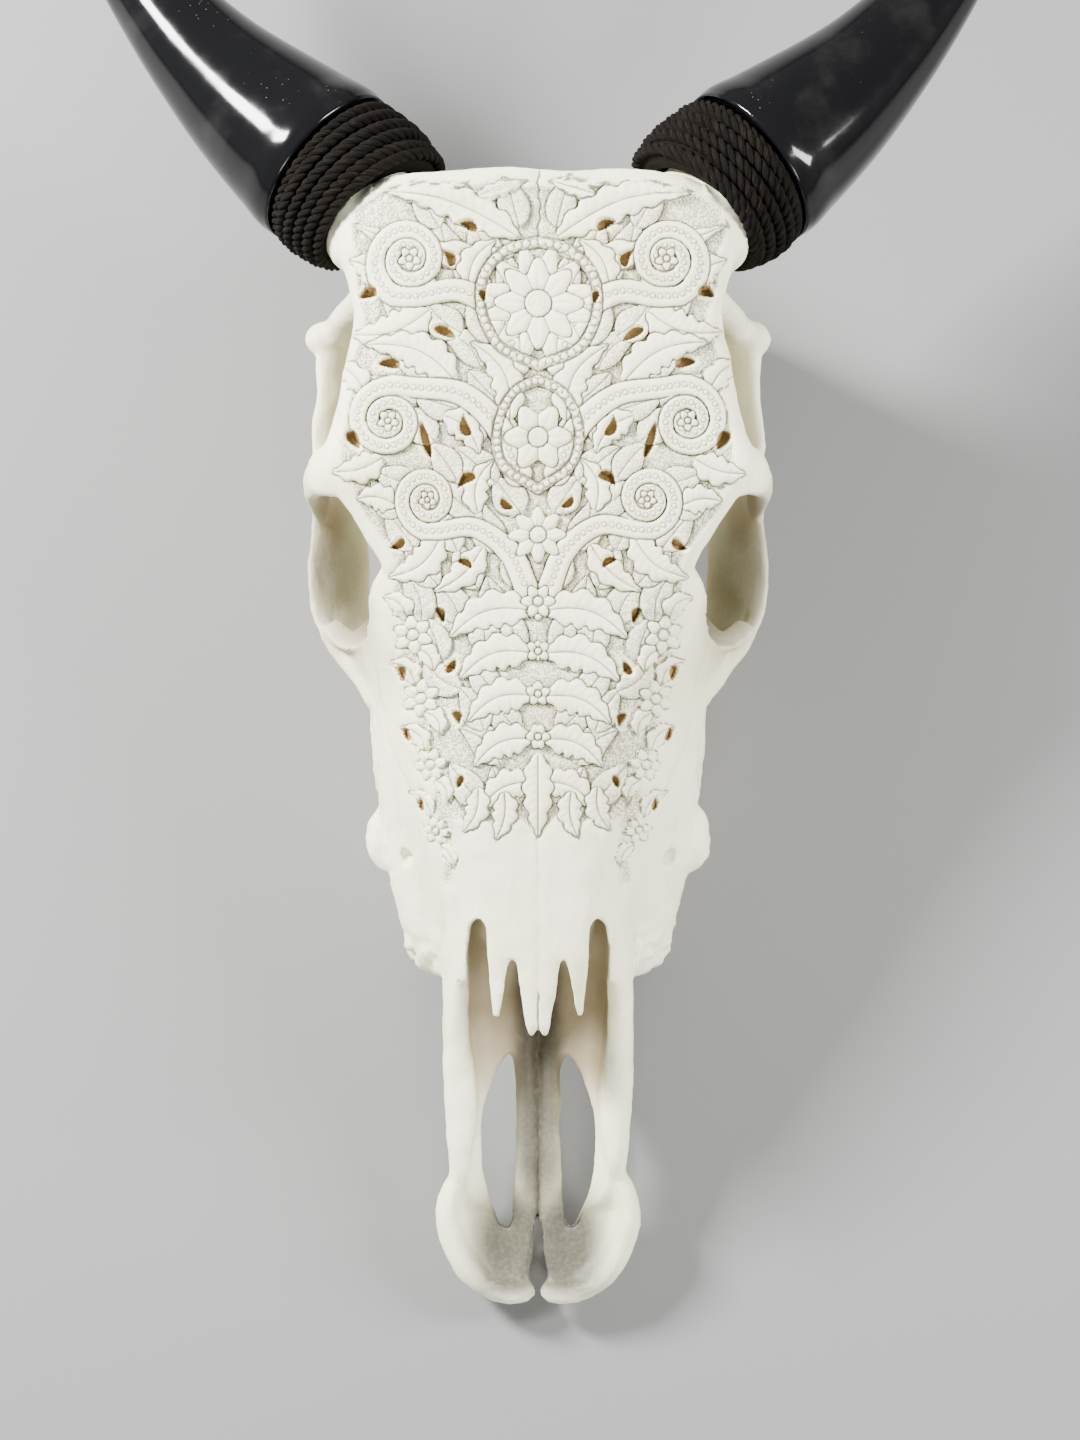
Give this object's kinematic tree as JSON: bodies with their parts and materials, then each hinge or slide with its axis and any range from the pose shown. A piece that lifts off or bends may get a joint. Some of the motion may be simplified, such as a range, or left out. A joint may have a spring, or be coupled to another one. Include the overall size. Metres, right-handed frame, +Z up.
{
  "type": "carved cow skull",
  "caption": "Bleached cow skull with a carved forehead, open eye sockets and nose, black horns lashed at the root with rope, lying on its cheek teeth.",
  "frame": {"origin": "middle of the outline, on the surface that the skull lies on", "axes": "+Z up, +Y from the nose to the poll and the horns, +X to the skull's side that is right in the picture; the forehead's plane is tipped 13 degrees nose down about X"},
  "size_m": [0.4551, 0.7001, 0.1865],
  "materials": {
    "bone": "matte",
    "horn": "polished",
    "rope": "matte",
    "tooth": "satin"
  },
  "bodies": {
    "root": {"skull": "bone", "horn_left": "horn", "horn_right": "horn", "rope_left": "rope", "rope_right": "rope", "cheek_tooth_left_1": "tooth", "cheek_tooth_left_2": "tooth", "cheek_tooth_left_3": "tooth", "cheek_tooth_left_4": "tooth", "cheek_tooth_left_5": "tooth", "cheek_tooth_left_6": "tooth", "cheek_tooth_right_1": "tooth", "cheek_tooth_right_2": "tooth", "cheek_tooth_right_3": "tooth", "cheek_tooth_right_4": "tooth", "cheek_tooth_right_5": "tooth", "cheek_tooth_right_6": "tooth"}
  },
  "joints": []
}
